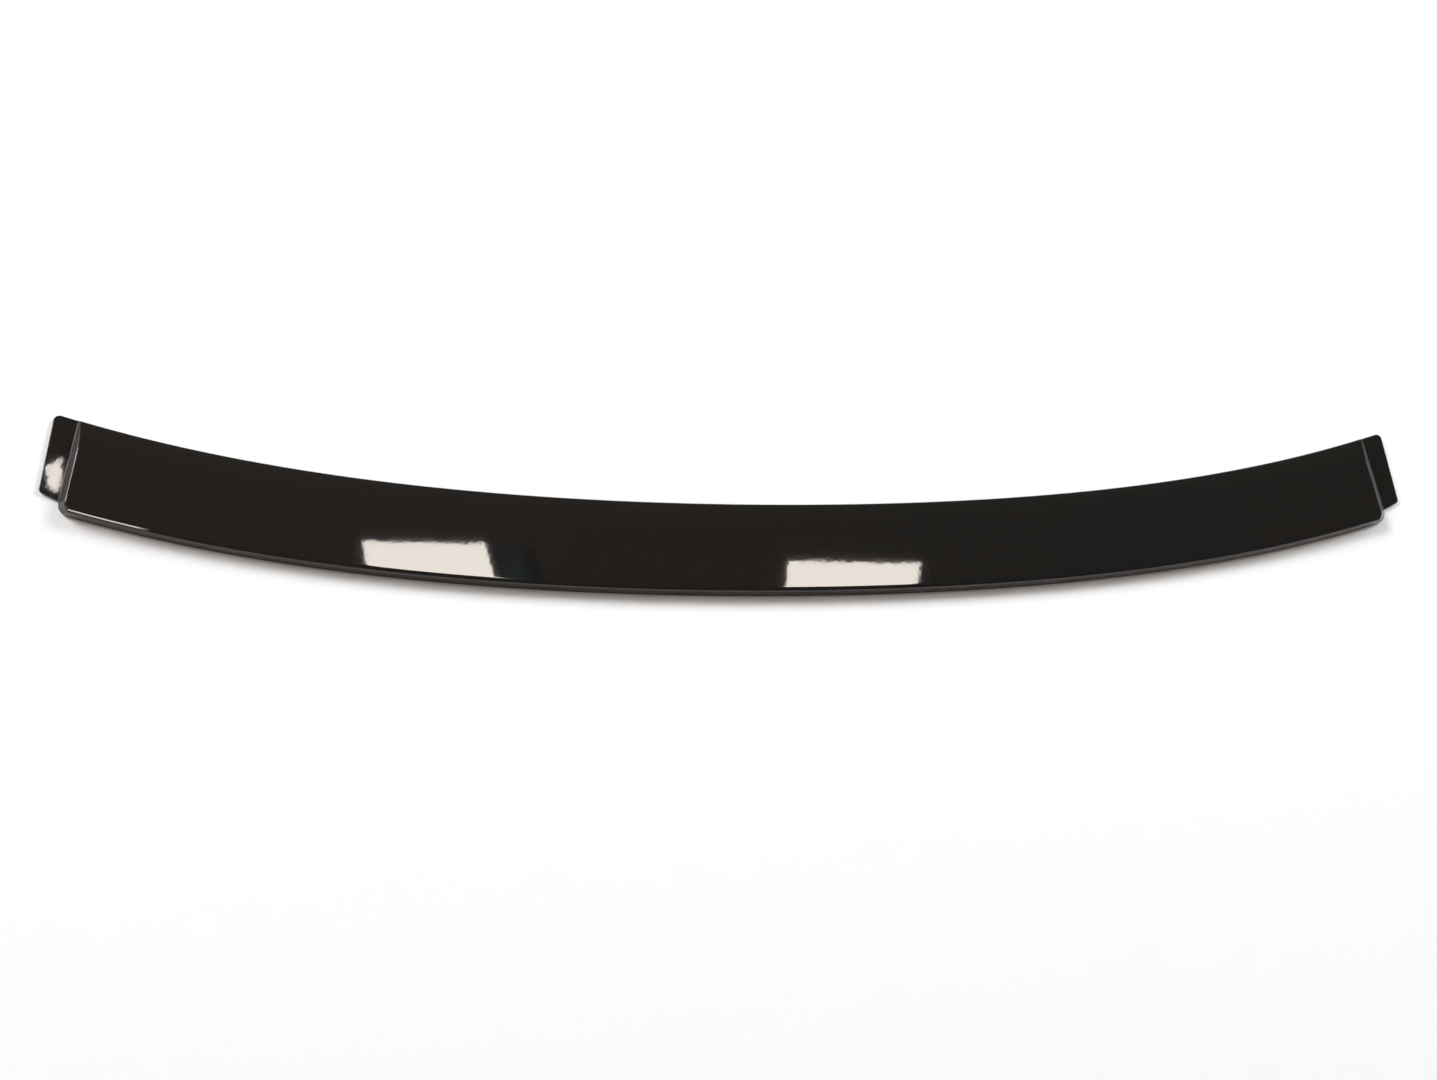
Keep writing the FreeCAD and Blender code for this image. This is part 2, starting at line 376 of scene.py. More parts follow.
@dataclass
class SpoilerShell:
    """The formed shell: heights of its upper face and underside over a plan grid, closed along the rim."""

    name: str = "dressed_spoiler_shell"
    bow: Bow = field(default_factory=Bow)
    section: Section = field(default_factory=Section)
    ends: Ends = field(default_factory=Ends)
    lines: MeshLines = field(default_factory=MeshLines)

    @property
    def foot_x(self) -> float:
        """Place across the span of a riser's foot beside the tab's rear corner."""
        return self.bow.half - self.ends.tab_width

    @property
    def tab_y(self) -> float:
        """Forward place of a tab's rear outer corner."""
        return self.bow.trail - self.bow.chord + self.ends.tab_setback

    @property
    def corner_lean(self) -> float:
        """Cosine between the inward normals of a riser's foot and of the trailing edge beside it."""
        return math.sin(float(self.bow.trail_slope(self.foot_x)) - self.ends.turn)

    def inside_riser(self, x: Array, y: Array) -> Array:
        """Distance inwards from the straight line of the riser's foot."""
        turn = self.ends.turn
        return (self.foot_x - x) * math.cos(turn) - (y - self.tab_y) * math.sin(turn)

    def inside_tail(self, x: Array, y: Array) -> Array:
        """Distance inwards from the trailing edge, square to it."""
        return (self.bow.chord - self.bow.run(x, y)) * np.cos(self.bow.trail_slope(x))

    def inside_front(self, x: Array, y: Array) -> Array:
        """Distance inwards from the leading edge, square to it."""
        return (self.bow.lead * self.bow.share(x) - y) * np.cos(self.bow.lead_slope(x))

    def inside_trim(self, x: Array, y: Array, inset: float) -> Array:
        """Distance inside the upright trim line round the blade's end, or the line one wall inside.

        Args:
            x: Places across the span, on the +X side.
            y: Forward places.
            inset: 0 for the trim line, one wall for the line inside it.

        Returns:
            Distances, negative outside.
        """
        proud = self.ends.corner_proud - self.section.wall * self.section.lip_lean
        foot = self.inside_riser(x, y) - inset
        tail = self.inside_tail(x, y) + proud - inset
        return rounded_corner(foot, tail, self.ends.corner_radius - inset, self.corner_lean)

    def inside_tab(self, x: Array, y: Array) -> Array:
        """Distance inside a tab's front, side and rear edges with its two rounded outer corners.

        Args:
            x: Places across the span, on the +X side.
            y: Forward places.

        Returns:
            Distances, negative outside.
        """
        lean = math.radians(self.ends.tab_turn)
        slant = math.radians(self.ends.tab_rear_slant)
        slope = float(self.bow.lead_slope(self.bow.half))
        side = (self.bow.half - x) * math.cos(lean) - (y - self.tab_y) * math.sin(lean)
        rear = (y - self.tab_y) * math.cos(slant) + (self.bow.half - x) * math.sin(slant)
        front = self.inside_front(x, y)
        fore_corner = rounded_corner(front, side, self.ends.tab_front_radius, math.sin(lean - slope))
        aft_corner = rounded_corner(side, rear, self.ends.tab_rear_radius, math.sin(slant - lean))
        return np.minimum(fore_corner, aft_corner)

    def blade_height(self, x: Array, y: Array, inset: float) -> Array:
        """Height of the blade's outside or inside, with its end walls.

        At each place it is the greatest height that lies under the section's skin and inside the end
        wall of that height, which leans in with the risers at the ends, with the lip at the back, and
        round an arc between them. Where both are near, the two distances are joined by a circle.

        Args:
            x: Places across the span, on the +X side.
            y: Forward places.
            inset: 0 for the outside, one wall for the inside.

        Returns:
            Heights.
        """
        draft = math.radians(self.ends.riser_draft)
        skin = self.section.height(self.bow.run(x, y), inset)
        foot = self.inside_riser(x, y) - inset / math.cos(draft)
        tail = self.inside_tail(x, y) + self.ends.corner_proud
        tail = tail - inset / math.cos(math.radians(self.section.lip_draft))
        bend = math.pi / 2.0 - draft
        blend = self.ends.riser_radius * math.tan(bend / 2.0) * math.sin(bend)

        def below(height: Array) -> Array:
            """Test whether heights lie under the skin and inside the end wall.

            Args:
                height: Heights to test.

            Returns:
                Yes or no for each.
            """
            in_foot = foot - (height - self.section.wall) * math.tan(draft)
            in_tail = tail - height * self.section.lip_lean
            wall = rounded_corner(in_foot, in_tail, self.ends.corner_radius - inset, self.corner_lean)
            short_wall = np.maximum(blend - wall * math.cos(draft), 0.0)
            short_skin = np.maximum(blend - (skin - height), 0.0)
            return np.hypot(short_wall, short_skin) < blend

        low = np.full(skin.shape, -self.section.tail_height)
        high = np.full(skin.shape, 2.0 * self.section.tail_height)
        return halve(below, low, high)

    def upper_height(self, x: Array, y: Array) -> Array:
        """Height of the upper face: blade, risers, their hollow feet and the tabs.

        The blade and the tab are each lowered by a quarter round near the outline. The higher one
        counts, and where they are closer than the foot's reach a square term fills the hollow.

        Args:
            x: Places across the span, on the +X side.
            y: Forward places.

        Returns:
            Heights.
        """
        edge = self.section.edge_round
        reach = self.ends.foot_reach
        blade = self.blade_height(x, y, 0.0) - edge_drop(self.inside_front(x, y), edge)
        inside = self.inside_tab(x, y)
        touching = 0.001
        under_riser = 1.5 * reach
        far_below = -2.0 * self.section.tail_height
        beside_tab = (inside > -touching) & (self.inside_riser(x, y) < under_riser)
        tab = np.where(beside_tab, self.section.wall - edge_drop(inside, edge), far_below)
        near = np.maximum(reach - np.abs(blade - tab), 0.0)
        return np.maximum(blade, tab) + near**2 / (4.0 * reach)

    def under_height(self, x: Array, y: Array) -> Array:
        """Height of the underside: the rim's plane, and the hollow one wall inside with steep sides.

        Args:
            x: Places across the span, on the +X side.
            y: Forward places.

        Returns:
            Heights.
        """
        wall = self.section.wall
        inside = np.minimum(self.inside_trim(x, y, wall), self.inside_front(x, y) - wall)
        hollow = np.minimum(self.blade_height(x, y, wall), self.ends.hollow_side_rise * inside)
        return np.maximum(hollow, 0.0)

    def blade_line(self, offset: Array, y: Array) -> Array:
        """Place of the blade's mesh lines, which follow a riser's foot and run straight further in.

        Args:
            offset: Offsets of the lines from the riser's foot.
            y: Forward places.

        Returns:
            Places across the span.
        """
        following = 0.1 * self.foot_x
        straight = 0.7 * self.foot_x
        follow = 1.0 - smooth_step(offset, following, straight)
        return self.foot_x - offset - (y - self.tab_y) * math.tan(self.ends.turn) * follow

    def tab_line(self, offset: Array, y: Array) -> Array:
        """Place of a tab's mesh lines, which turn from the riser's foot to the tab's outer edge.

        Args:
            offset: Offsets of the lines from the riser's foot.
            y: Forward places.

        Returns:
            Places across the span.
        """
        ahead = y - self.tab_y
        spread = math.tan(self.ends.turn) - math.tan(math.radians(self.ends.tab_turn))
        along_foot = 0.2 * self.ends.tab_width
        along_edge = 0.6 * self.ends.tab_width
        share = smooth_step(offset, along_foot, along_edge)
        return self.foot_x - ahead * math.tan(self.ends.turn) + offset + ahead * spread * share

    def cross(self, line: Line, offset: Array, run: Array) -> tuple[Array, Array]:
        """Plan places where lines along the vehicle cross distances behind the leading edge.

        The two depend on each other a little, so they are found by going back and forth.

        Args:
            line: Place across the span of a line at a forward place.
            offset: Offsets of the lines from the riser's foot.
            run: Distances behind the leading edge.

        Returns:
            Places across the span and forward places.
        """
        rounds = 12
        y = self.bow.place_y(self.foot_x, run)
        for _ in range(rounds):
            x = line(offset, y)
            y = self.bow.place_y(x, run)
        return x, y

    def blade_offsets(self) -> Array:
        """Offsets of the blade's lines from a riser's foot: close over the riser, then widening.

        Returns:
            Offsets, from the foot to the middle of the span.
        """
        lines = self.lines
        arc = np.radians(np.linspace(0.0, lines.corner_arc, lines.corner))
        corner = self.ends.corner_radius * (1.0 - np.cos(arc))
        riser = np.arange(corner[-1], 2.0 * self.ends.corner_radius, lines.riser_spacing)[1:]
        widening = lines.riser_spacing * lines.growth ** np.arange(1, lines.growing + 1)
        near = riser[-1] + np.cumsum(widening)
        middle = np.linspace(near[-1], self.foot_x, lines.middle)[1:]
        return np.concatenate([corner, riser, near, middle])

    def tab_offsets(self) -> Array:
        """Offsets of a tab's lines from the riser's foot: close over the foot and the outer edge.

        Returns:
            Offsets, from the foot to the tab's outer edge.
        """
        lines = self.lines
        arc = np.radians(np.linspace(lines.tab_edge_arc, 0.0, lines.tab_edge))
        outer = self.ends.tab_width - self.ends.tab_front_radius * (1.0 - np.cos(arc))
        past_foot = 1.2 * self.ends.foot_reach
        foot = np.linspace(0.0, past_foot, lines.tab_foot)
        return np.concatenate([foot, np.linspace(foot[-1], outer[0], lines.tab_flat)[1:-1], outer])

    def plan_grids(self) -> tuple[tuple[Array, Array], tuple[Array, Array], int]:
        """Plan grids of half the blade and of one tab, fitted to their outlines.

        Lines across the blade keep their distance behind the leading edge in front, and their
        distance from the outline at the back, where the rear corner is round. The tab's grid goes on
        from the blade's first line as far back as the notch.

        Returns:
            The blade's places, the tab's places, and which line across the blade meets the notch.
        """
        chord = self.bow.chord
        slant = math.tan(math.radians(self.ends.tab_rear_slant))
        back = self.ends.tab_width * slant / (1.0 + slant * math.tan(self.ends.turn))
        notch_run = float(self.bow.run(self.foot_x + back * math.tan(self.ends.turn), self.tab_y - back))
        offsets = self.blade_offsets()
        tab_offsets = self.tab_offsets()
        touching_trim = 1e-9
        touching_tab = 1e-6
        follow_start = 0.4 * chord
        follow_end = 0.86 * chord

        def in_blade(run: Array) -> Array:
            """Test whether places on the blade's lines lie inside its trim line."""
            return self.inside_trim(*self.cross(self.blade_line, offsets, run), 0.0) > -touching_trim

        ends = halve(in_blade, np.full(offsets.shape, 0.5 * chord), np.full(offsets.shape, chord))

        def follow(run: Array) -> Array:
            """Share by which a line across the blade follows the outline at the back."""
            return smooth_step(run, follow_start, follow_end)

        def before_notch(run: Array) -> Array:
            """Test whether a line across the blade meets the riser's foot ahead of the notch."""
            return run - (chord - ends[0]) * follow(run) < notch_run

        at_notch = float(halve(before_notch, np.array(0.0), np.array(chord)))
        tab_edge = at_notch - self.lines.quarter_round(self.section.edge_round)
        runs = np.unique(np.concatenate([self.section.runs(self.lines), tab_edge]))
        notch = int(np.searchsorted(runs, at_notch))
        blade_runs = runs - (chord - ends)[:, None] * follow(runs)
        foot_runs = blade_runs[0, : notch + 1]

        def in_tab(run: Array) -> Array:
            """Test whether places on the tab's lines lie inside its outline."""
            return self.inside_tab(*self.cross(self.tab_line, tab_offsets, run)) > -touching_tab

        middle = np.full(tab_offsets.shape, 0.5 * notch_run)
        ahead_of_edge = -1.0
        starts = halve(in_tab, middle, np.full(tab_offsets.shape, ahead_of_edge))
        rears = halve(in_tab, middle, np.full(tab_offsets.shape, chord))
        starts[0] = 0.0
        rears[0] = foot_runs[-1]
        front_end = 0.07 * chord
        middle_run = 0.35 * chord
        rear_start = foot_runs[-1] - 0.06 * chord
        lead_share = 1.0 - smooth_step(foot_runs, front_end, middle_run)
        rear_share = smooth_step(foot_runs, middle_run, rear_start)
        tab_runs = foot_runs + starts[:, None] * lead_share - (foot_runs[-1] - rears)[:, None] * rear_share
        blade = self.cross(self.blade_line, offsets[:, None], blade_runs)
        tab = self.cross(self.tab_line, tab_offsets[:, None], tab_runs)
        return blade, tab, notch

    def build(self, box: tuple[Vector, Vector]) -> bpy.types.Object:
        """Build the closed mesh in the part's own frame.

        The trailing edge's middle is the rearmost place of the box, and the leading edge's middle
        lies one chord ahead of it.

        Args:
            box: Lowest and highest corner of the part, which is centred on its origin.

        Returns:
            The new object, at the origin.
        """
        lead_y = self.bow.chord - max(-box[0].y, box[1].y) / MM
        (blade_x, blade_y), (tab_x, tab_y), notch = self.plan_grids()
        blade_top = self.upper_height(blade_x, blade_y)
        blade_under = self.under_height(blade_x, blade_y)
        tab_top = self.upper_height(tab_x, tab_y)
        tab_under = np.zeros(tab_x.shape)
        mesh = GridMesh(self.name)
        for mirror in (-1.0, 1.0):
            blade = mesh.grid(mirror * blade_x, blade_y + lead_y, blade_top, Side.UPPER, mirror < 0.0)
            under = mesh.grid(mirror * blade_x, blade_y + lead_y, blade_under, Side.UNDER, mirror > 0.0)
            tab = mesh.grid(mirror * tab_x, tab_y + lead_y, tab_top, Side.UPPER, mirror > 0.0)
            flat = mesh.grid(mirror * tab_x, tab_y + lead_y, tab_under, Side.UNDER, mirror < 0.0)
            mesh.wall(blade[:, 0], under[:, 0], mirror < 0.0)
            mesh.wall(blade[:, -1], under[:, -1], mirror > 0.0)
            mesh.wall(blade[0, notch:], under[0, notch:], mirror < 0.0)
            mesh.wall(tab[:, 0], flat[:, 0], mirror > 0.0)
            mesh.wall(tab[:, -1], flat[:, -1], mirror < 0.0)
            mesh.wall(tab[-1], flat[-1], mirror > 0.0)
        return mesh.object()


def new_object(name: str, data: bpy.types.ID) -> bpy.types.Object:
    """Make an object of a mesh, a light or a camera and link it to the scene.

    Args:
        name: The object's name.
        data: What it shows.

    Returns:
        The object, at the origin.
    """
    made = bpy.data.objects.new(name, data)
    bpy.context.scene.collection.objects.link(made)
    return made


class GridMesh:
    """Collects grids of points and the walls between their borders, and welds them into one closed mesh."""

    weld: float = 0.002 * MM
    sharp_angle: float = 40.0

    def __init__(self, name: str) -> None:
        """Start with no points.

        Args:
            name: Name of the mesh and its object.
        """
        self.name = name
        self.points: list[Array] = []
        self.sides: list[Array] = []
        self.quads: list[Array] = []
        self.count = 0

    def grid(self, x: Array, y: Array, z: Array, side: Side, flip: bool) -> Array:
        """Add a grid of points in millimetres and the quads between them.

        Args:
            x: Places across the span.
            y: Forward places.
            z: Heights.
            side: Face of the sheet that the points lie on.
            flip: Whether the quads' turning sense is reversed.

        Returns:
            The points' numbers, in the grid's shape.
        """
        numbers = self.count + np.arange(x.size).reshape(x.shape)
        self.points.append(np.stack([x, y, z], axis=-1).reshape(-1, 3) * MM)
        self.sides.append(np.full(x.size, side.value))
        self.count += x.size
        corners = [numbers[:-1, :-1], numbers[1:, :-1], numbers[1:, 1:], numbers[:-1, 1:]]
        self.add(corners, flip)
        return numbers

    def wall(self, upper: Array, lower: Array, flip: bool) -> None:
        """Add the upright quads between a border of the upper face and the same border of the underside."""
        self.add([upper[:-1], upper[1:], lower[1:], lower[:-1]], flip)

    def add(self, corners: list[Array], flip: bool) -> None:
        """Add quads from four arrays of point numbers, reversed if asked."""
        quads = np.stack(corners, axis=-1).reshape(-1, 4)
        self.quads.append(quads[:, ::-1] if flip else quads)

    def object(self) -> bpy.types.Object:
        """Weld the points that coincide, shade the faces smooth and return the object.

        Returns:
            The object, linked to the scene.
        """
        points = np.concatenate(self.points)
        quads = np.concatenate(self.quads)
        mesh = bpy.data.meshes.new(self.name)
        mesh.vertices.add(len(points))
        mesh.vertices.foreach_set("co", points.astype(np.float32).ravel())
        mesh.loops.add(quads.size)
        mesh.loops.foreach_set("vertex_index", quads.astype(np.int32).ravel())
        mesh.polygons.add(len(quads))
        mesh.polygons.foreach_set("loop_start", np.arange(0, quads.size, 4, dtype=np.int32))
        mesh.update(calc_edges=True)
        side = mesh.attributes.new(UNDERSIDE, "FLOAT", "POINT")
        side.data.foreach_set("value", np.concatenate(self.sides).astype(np.float32))
        work = bmesh.new()
        work.from_mesh(mesh)
        bmesh.ops.remove_doubles(work, verts=work.verts, dist=self.weld)
        bmesh.ops.dissolve_degenerate(work, edges=work.edges, dist=self.weld)
        open_edges = sum(1 for edge in work.edges if len(edge.link_faces) != 2)
        work.to_mesh(mesh)
        work.free()
        mesh.shade_smooth()
        mesh.set_sharp_from_angle(angle=math.radians(self.sharp_angle))
        log.info("%s: %d faces, %d open edges", self.name, len(mesh.polygons), open_edges)
        return new_object(self.name, mesh)


class Blend(Enum):
    """What a mix node mixes: its type's name, and the numbers of its two inputs and of its output."""

    NUMBER = ("FLOAT", 2, 3, 0)
    COLOUR = ("RGBA", 6, 7, 2)


class Ramp(Enum):
    """How a share goes from 0 to 1: evenly, or level at both ends."""

    EVEN = "LINEAR"
    LEVEL_ENDS = "SMOOTHSTEP"


class Nodes:
    """Shorthand for building the node tree of a material or of the world."""

    def __init__(self, tree: bpy.types.NodeTree) -> None:
        """Start from an empty tree."""
        self.tree = tree
        tree.nodes.clear()

    def new(self, kind: str, **values: object) -> bpy.types.Node:
        """Add a node and set properties or inputs by name.

        Args:
            kind: Blender's name of the node's type.
            values: Properties of the node, or what its inputs are given, with spaces as underscores.

        Returns:
            The node.
        """
        node = self.tree.nodes.new(kind)
        for name, value in values.items():
            if hasattr(node, name):
                setattr(node, name, value)
            else:
                self.give(value, node.inputs[name.replace("_", " ")])
        return node

    def link(self, source: Socket, target: Socket) -> None:
        """Join an output to an input."""
        self.tree.links.new(source, target)

    def give(self, value: object, target: Socket) -> None:
        """Set an input to a number or a colour, or join an output to it.

        Args:
            value: The number, colour or output.
            target: The input.
        """
        if isinstance(value, Socket):
            self.link(value, target)
        elif isinstance(value, tuple):
            target.default_value = (*value, 1.0)
        else:
            target.default_value = value

    def mix(self, kind: Blend, share: Socket, first: object, second: object) -> Socket:
        """Go from one number or colour to another.

        Args:
            kind: Whether numbers or colours are mixed.
            share: 0 for the first and 1 for the second.
            first: A value, or the output that gives it.
            second: A value, or the output that gives it.

        Returns:
            The mixed output.
        """
        data_type, first_input, second_input, output = kind.value
        node = self.new("ShaderNodeMix", data_type=data_type)
        self.link(share, node.inputs[0])
        self.give(first, node.inputs[first_input])
        self.give(second, node.inputs[second_input])
        return node.outputs[output]

    def combine(self, operation: str, first: Socket, second: Socket) -> Socket:
        """Work out one number from two.

        Args:
            operation: Blender's name of what is worked out.
            first: First number.
            second: Second number.

        Returns:
            The result's output.
        """
        node = self.new("ShaderNodeMath", operation=operation)
        self.link(first, node.inputs[0])
        self.link(second, node.inputs[1])
        return node.outputs[0]

    def ramp(self, value: Socket, low: float, high: float, form: Ramp = Ramp.EVEN) -> Socket:
        """Share of the way of a value from a low one to a high one."""
        node = self.new(
            "ShaderNodeMapRange", interpolation_type=form.value, Value=value, From_Min=low, From_Max=high
        )
        return node.outputs["Result"]

    def noise(self, place: Socket, size: float, detail: float = 1.0) -> Socket:
        """Cloudy noise with lumps of a size in metres and a number of finer layers."""
        cloud = self.new("ShaderNodeTexNoise", Vector=place, Scale=1.0 / size, Detail=detail, Roughness=0.5)
        return cloud.outputs["Fac"]

    def bump(self, height: Socket, depth: float) -> bpy.types.Node:
        """Fine relief of a depth in metres, from heights of 0 to 1."""
        return self.new("ShaderNodeBump", Strength=1.0, Distance=depth, Height=height)

    def finish(self, kind: str, surface: Socket) -> None:
        """Add the tree's last node and join the surface to it."""
        self.new(kind, Surface=surface)


def new_material(name: str) -> tuple[bpy.types.Material, Nodes]:
    """Make a material with an empty node tree.

    Args:
        name: The material's name.

    Returns:
        The material and its nodes.
    """
    made = bpy.data.materials.new(name)
    made.use_nodes = True
    return made, Nodes(made.node_tree)


@dataclass(frozen=True)
class GlossBlack:
    """Gloss black formed plastic: fine orange peel and a faint haze outside, and a satin back."""

    name: str = "gloss_black_plastic"
    colour: Colour = (0.0078, 0.0074, 0.0066)
    warm: Colour = (0.0105, 0.0088, 0.0076)
    back: Colour = (0.022, 0.021, 0.020)
    tone_size: float = 0.35
    gloss: float = 0.02
    haze: float = 0.035
    haze_size: float = 0.012
    haze_detail: float = 3.0
    satin: float = 0.38
    refraction: float = 1.5
    peel_size: float = 0.007
    peel_depth: float = 0.000007
    swell_size: float = 0.06
    swell_depth: float = 0.00003

    def material(self) -> bpy.types.Material:
        """Make the node material.

        Returns:
            The material.
        """
        made, nodes = new_material(self.name)
        place = nodes.new("ShaderNodeTexCoord").outputs["Object"]
        under = nodes.new("ShaderNodeAttribute", attribute_name=UNDERSIDE).outputs["Fac"]
        tone = nodes.mix(Blend.COLOUR, nodes.noise(place, self.tone_size), self.colour, self.warm)
        colour = nodes.mix(Blend.COLOUR, under, tone, self.back)
        clouds = nodes.noise(place, self.haze_size, self.haze_detail)
        outside = nodes.mix(Blend.NUMBER, clouds, self.gloss, self.haze)
        roughness = nodes.mix(Blend.NUMBER, under, outside, self.satin)
        swell = nodes.bump(nodes.noise(place, self.swell_size), self.swell_depth)
        peel = nodes.bump(nodes.noise(place, self.peel_size), self.peel_depth)
        nodes.link(swell.outputs["Normal"], peel.inputs["Normal"])
        shader = nodes.new(
            "ShaderNodeBsdfPrincipled",
            IOR=self.refraction,
            Base_Color=colour,
            Roughness=roughness,
            Normal=peel.outputs["Normal"],
        )
        nodes.finish("ShaderNodeOutputMaterial", shader.outputs["BSDF"])
        return made


@dataclass(frozen=True)
class Floor:
    """Plain pale floor just under the rim, which keeps the shadow and turns white further out."""

    name: str = "pale_floor"
    reach: float = 40.0
    gap: float = 0.0002
    colour: Colour = (0.94, 0.94, 0.94)
    paint_reach: float = 0.95
    white_reach: float = 2.2

    def build(self) -> bpy.types.Object:
        """Make the floor as one quad.

        Returns:
            The floor's object.
        """
        corner = self.reach * np.array([[-1.0, -1.0], [1.0, -1.0], [1.0, 1.0], [-1.0, 1.0]])
        points = np.column_stack([corner, np.full(4, -self.gap)])
        mesh = bpy.data.meshes.new(self.name)
        mesh.from_pydata(points.tolist(), [], [(0, 1, 2, 3)])
        mesh.materials.append(self.material())
        floor = new_object(self.name, mesh)
        log.info("laid %s", self.name)
        return floor

    def material(self) -> bpy.types.Material:
        """Make a matt pale paint, which rays that look at it see as white far from the part.

        Returns:
            The material.
        """
        made, nodes = new_material("pale_floor_paint")
        place = nodes.new("ShaderNodeTexCoord").outputs["Object"]
        away = nodes.new("ShaderNodeVectorMath", operation="LENGTH", Vector=place)
        share = nodes.ramp(away.outputs["Value"], self.paint_reach, self.white_reach, Ramp.LEVEL_ENDS)
        path = nodes.new("ShaderNodeLightPath")
        looks = path.outputs["Is Camera Ray"]
        for kind in ("Is Glossy Ray", "Is Transmission Ray"):
            looks = nodes.combine("MAXIMUM", looks, path.outputs[kind])
        paint = nodes.new("ShaderNodeBsdfDiffuse", Color=self.colour)
        white = nodes.new("ShaderNodeEmission", Strength=1.0)
        both = nodes.new("ShaderNodeMixShader")
        nodes.link(nodes.combine("MULTIPLY", share, looks), both.inputs[0])
        nodes.link(paint.outputs[0], both.inputs[1])
        nodes.link(white.outputs[0], both.inputs[2])
        nodes.finish("ShaderNodeOutputMaterial", both.outputs[0])
        return made


class Facing(Enum):
    """Where a light looks: straight down from the ceiling, or at the middle of the part."""

    DOWN = "down"
    PART = "part"


class Use(Enum):
    """What a light is for: both to light and to show in the gloss, only to light, or only to show."""

    BOTH = "both"
    LIGHT = "light"
    CARD = "card"


@dataclass(frozen=True)
class Lamp:
    """Flat rectangular light of an even radiance, which the camera doesn't see itself."""

    name: str
    centre: Place
    size: Point
    radiance: float
    facing: Facing = Facing.PART
    turn: float = 0.0
    use: Use = Use.BOTH
    colour: Colour = (1.0, 1.0, 1.0)

    def build(self) -> bpy.types.Object:
        """Make the light. Its power is its radiance times its area times pi.

        Returns:
            The light's object.
        """
        data = bpy.data.lights.new(self.name, "AREA")
        data.shape = "RECTANGLE"
        data.size, data.size_y = self.size
        data.energy = self.radiance * self.size[0] * self.size[1] * math.pi
        data.color = self.colour
        light = new_object(self.name, data)
        light.location = self.centre
        if self.facing is Facing.PART:
            light.rotation_euler = Vector(self.centre).to_track_quat("Z", "Y").to_euler()
        else:
            light.rotation_euler = (0.0, 0.0, math.radians(self.turn))
        light.visible_camera = False
        light.visible_glossy = self.use is not Use.LIGHT
        light.visible_diffuse = self.use is not Use.CARD
        return light


@dataclass(frozen=True)
class CeilingPanel:
    """Glowing polygon in the ceiling that faces down. The camera doesn't see it, but the gloss does."""

    name: str
    corners: tuple[Point, ...]
    radiance: tuple[float, ...]
    height: float
    colour: Colour

    def build(self) -> bpy.types.Object:
        """Make the polygon and its glow, whose radiance is set at each corner and fades between them.

        Returns:
            The panel's object.
        """
        points = [(x, y, self.height) for x, y in self.corners]
        mesh = bpy.data.meshes.new(self.name)
        mesh.from_pydata(points, [], [tuple(range(len(points)))])
        level = mesh.attributes.new("radiance", "FLOAT", "POINT")
        level.data.foreach_set("value", np.resize(np.float32(self.radiance), len(points)))
        made, nodes = new_material(self.name)
        strength = nodes.new("ShaderNodeAttribute", attribute_name="radiance").outputs["Fac"]
        glow = nodes.new("ShaderNodeEmission", Color=self.colour, Strength=strength)
        nodes.finish("ShaderNodeOutputMaterial", glow.outputs[0])
        mesh.materials.append(made)
        panel = new_object(self.name, mesh)
        panel.visible_camera = False
        return panel


